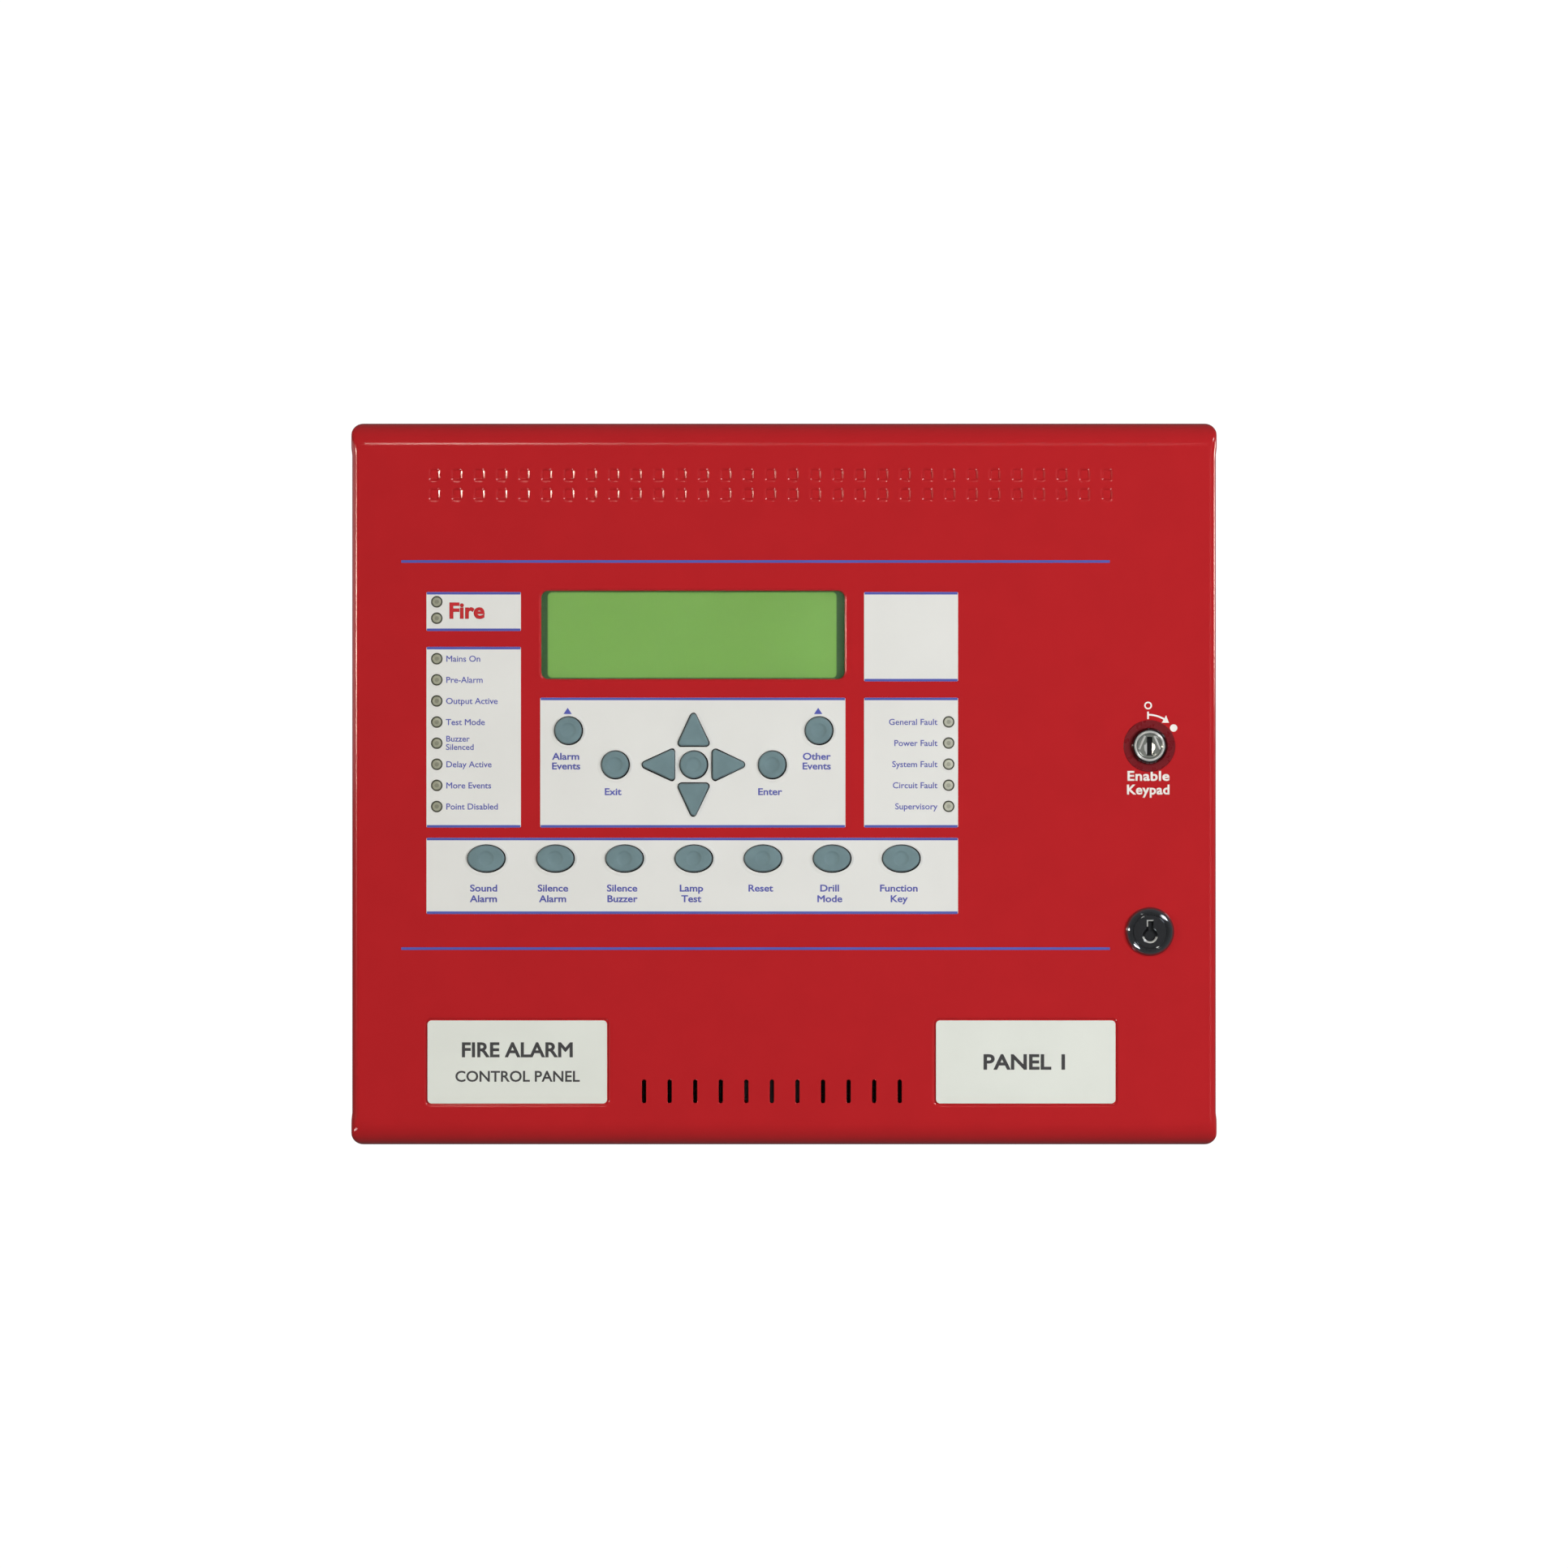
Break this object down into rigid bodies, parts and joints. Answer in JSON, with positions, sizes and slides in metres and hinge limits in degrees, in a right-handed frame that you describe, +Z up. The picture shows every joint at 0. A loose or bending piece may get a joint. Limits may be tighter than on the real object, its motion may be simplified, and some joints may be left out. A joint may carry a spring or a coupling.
{
  "type": "fire alarm control panel",
  "caption": "Wall-mounted fire alarm control panel: a shallow steel case with a hinged front door carrying a display, indicators, rubber keys, a keyswitch and a cam lock.",
  "frame": {"origin": "the middle of the four wall holes, on the back face that lies against the wall", "axes": "+Z up, -Y out of the front of the door, +X to the right of a person facing the panel"},
  "size_m": [0.385, 0.0932, 0.321],
  "materials": {
    "back_box": "semi-gloss powder coat",
    "lock_catch": "semi-gloss powder coat",
    "box_gasket": "closed-cell foam strip",
    "box_hinge_leaf": "zinc plated",
    "hinge_pin": "bright",
    "box_studs": "zinc plated",
    "box_nuts": "zinc plated",
    "terminal_board": "green solder mask",
    "terminal_blocks": "moulded",
    "terminal_screws": "nickel plated",
    "relays": "moulded covers",
    "board_parts": "moulded",
    "box_header": "moulded",
    "ribbon_cable": "ribbed grey PVC with one red edge",
    "earth_lead": "green and yellow PVC, tinned lugs",
    "door_shell": "semi-gloss powder coat",
    "door_hinge_leaf": "zinc plated",
    "front_fields": "printed film, fine texture",
    "name_plates": "satin printed plate",
    "lcd_window": "clear polycarbonate",
    "lcd_bezel": "black",
    "lcd_glass": "lit green display",
    "lcd_board": "green solder mask",
    "display_board": "green solder mask",
    "display_parts": "moulded",
    "door_studs": "copper flashed",
    "door_spacers": "natural nylon",
    "door_nuts": "zinc plated",
    "keypad_mat": "matte silicone",
    "fire_leds": "unlit tinted lens",
    "status_leds": "unlit tinted lens",
    "trouble_leds": "unlit tinted lens",
    "door_header": "moulded",
    "door_leads": "PVC",
    "sounder": "moulded",
    "vent_screen": "fine black mesh",
    "keyswitch_washer": "dark red tinted disc",
    "keyswitch_body": "polished",
    "keyswitch_nuts": "polished",
    "keyswitch_contacts": "moulded",
    "camlock_body": "polished",
    "camlock_nut": "zinc plated",
    "keyswitch_plug": "polished",
    "camlock_plug": "polished, zinc-plated cam",
    "key_fire_events": "matte silicone",
    "key_exit": "matte silicone",
    "key_select": "matte silicone",
    "key_enter": "matte silicone",
    "key_more_events": "matte silicone",
    "key_up": "matte silicone",
    "key_left": "matte silicone",
    "key_down": "matte silicone",
    "key_right": "matte silicone",
    "key_resound": "matte silicone",
    "key_alarm_silence": "matte silicone",
    "key_sounder_silence": "matte silicone",
    "key_lamp_test": "matte silicone",
    "key_reset": "matte silicone",
    "key_fire_drill": "matte silicone",
    "key_programmable": "matte silicone"
  },
  "bodies": {
    "case": {"back_box": "back_box", "lock_catch": "lock_catch", "box_gasket": "box_gasket", "box_hinge_leaf": "box_hinge_leaf", "hinge_pin": "hinge_pin", "box_studs": "box_studs", "box_nuts": "box_nuts", "terminal_board": "terminal_board", "terminal_blocks": "terminal_blocks", "terminal_screws": "terminal_screws", "relays": "relays", "board_parts": "board_parts", "box_header": "box_header", "ribbon_cable": "ribbon_cable", "earth_lead": "earth_lead"},
    "door": {"door_shell": "door_shell", "door_hinge_leaf": "door_hinge_leaf", "front_fields": "front_fields", "name_plates": "name_plates", "lcd_window": "lcd_window", "lcd_bezel": "lcd_bezel", "lcd_glass": "lcd_glass", "lcd_board": "lcd_board", "display_board": "display_board", "display_parts": "display_parts", "door_studs": "door_studs", "door_spacers": "door_spacers", "door_nuts": "door_nuts", "keypad_mat": "keypad_mat", "fire_leds": "fire_leds", "status_leds": "status_leds", "trouble_leds": "trouble_leds", "door_header": "door_header", "door_leads": "door_leads", "sounder": "sounder", "vent_screen": "vent_screen", "keyswitch_washer": "keyswitch_washer", "keyswitch_body": "keyswitch_body", "keyswitch_nuts": "keyswitch_nuts", "keyswitch_contacts": "keyswitch_contacts", "camlock_body": "camlock_body", "camlock_nut": "camlock_nut"},
    "keyswitch_plug": {"keyswitch_plug": "keyswitch_plug"},
    "camlock_plug": {"camlock_plug": "camlock_plug"},
    "key_fire_events": {"key_fire_events": "key_fire_events"},
    "key_exit": {"key_exit": "key_exit"},
    "key_select": {"key_select": "key_select"},
    "key_enter": {"key_enter": "key_enter"},
    "key_more_events": {"key_more_events": "key_more_events"},
    "key_up": {"key_up": "key_up"},
    "key_left": {"key_left": "key_left"},
    "key_down": {"key_down": "key_down"},
    "key_right": {"key_right": "key_right"},
    "key_resound": {"key_resound": "key_resound"},
    "key_alarm_silence": {"key_alarm_silence": "key_alarm_silence"},
    "key_sounder_silence": {"key_sounder_silence": "key_sounder_silence"},
    "key_lamp_test": {"key_lamp_test": "key_lamp_test"},
    "key_reset": {"key_reset": "key_reset"},
    "key_fire_drill": {"key_fire_drill": "key_fire_drill"},
    "key_programmable": {"key_programmable": "key_programmable"}
  },
  "joints": [
    {"name": "door_swing", "type": "hinge", "parent": "case", "child": "door", "pos_m": [-0.188, -0.066, 0], "axis": [0, 0, -1], "range_deg": [0, 110], "deforming": ["ribbon_cable", "earth_lead"]},
    {"name": "keyswitch_turn", "type": "hinge", "parent": "door", "child": "keyswitch_plug", "pos_m": [0.1625, -0.09, 0.0169], "axis": [0, 1, 0], "range_deg": [0, 55]},
    {"name": "camlock_turn", "type": "hinge", "parent": "door", "child": "camlock_plug", "pos_m": [0.1627, -0.09, -0.0656], "axis": [0, 1, 0], "range_deg": [0, 90]},
    {"name": "key_fire_events_press", "type": "slide", "parent": "door", "child": "key_fire_events", "axis": [0, 1, 0], "range_m": [0, 0.001], "stiffness_N_per_m": 1500},
    {"name": "key_exit_press", "type": "slide", "parent": "door", "child": "key_exit", "axis": [0, 1, 0], "range_m": [0, 0.001], "stiffness_N_per_m": 1500},
    {"name": "key_select_press", "type": "slide", "parent": "door", "child": "key_select", "axis": [0, 1, 0], "range_m": [0, 0.001], "stiffness_N_per_m": 1500},
    {"name": "key_enter_press", "type": "slide", "parent": "door", "child": "key_enter", "axis": [0, 1, 0], "range_m": [0, 0.001], "stiffness_N_per_m": 1500},
    {"name": "key_more_events_press", "type": "slide", "parent": "door", "child": "key_more_events", "axis": [0, 1, 0], "range_m": [0, 0.001], "stiffness_N_per_m": 1500},
    {"name": "key_up_press", "type": "slide", "parent": "door", "child": "key_up", "axis": [0, 1, 0], "range_m": [0, 0.001], "stiffness_N_per_m": 1500},
    {"name": "key_left_press", "type": "slide", "parent": "door", "child": "key_left", "axis": [0, 1, 0], "range_m": [0, 0.001], "stiffness_N_per_m": 1500},
    {"name": "key_down_press", "type": "slide", "parent": "door", "child": "key_down", "axis": [0, 1, 0], "range_m": [0, 0.001], "stiffness_N_per_m": 1500},
    {"name": "key_right_press", "type": "slide", "parent": "door", "child": "key_right", "axis": [0, 1, 0], "range_m": [0, 0.001], "stiffness_N_per_m": 1500},
    {"name": "key_resound_press", "type": "slide", "parent": "door", "child": "key_resound", "axis": [0, 1, 0], "range_m": [0, 0.001], "stiffness_N_per_m": 1500},
    {"name": "key_alarm_silence_press", "type": "slide", "parent": "door", "child": "key_alarm_silence", "axis": [0, 1, 0], "range_m": [0, 0.001], "stiffness_N_per_m": 1500},
    {"name": "key_sounder_silence_press", "type": "slide", "parent": "door", "child": "key_sounder_silence", "axis": [0, 1, 0], "range_m": [0, 0.001], "stiffness_N_per_m": 1500},
    {"name": "key_lamp_test_press", "type": "slide", "parent": "door", "child": "key_lamp_test", "axis": [0, 1, 0], "range_m": [0, 0.001], "stiffness_N_per_m": 1500},
    {"name": "key_reset_press", "type": "slide", "parent": "door", "child": "key_reset", "axis": [0, 1, 0], "range_m": [0, 0.001], "stiffness_N_per_m": 1500},
    {"name": "key_fire_drill_press", "type": "slide", "parent": "door", "child": "key_fire_drill", "axis": [0, 1, 0], "range_m": [0, 0.001], "stiffness_N_per_m": 1500},
    {"name": "key_programmable_press", "type": "slide", "parent": "door", "child": "key_programmable", "axis": [0, 1, 0], "range_m": [0, 0.001], "stiffness_N_per_m": 1500}
  ]
}
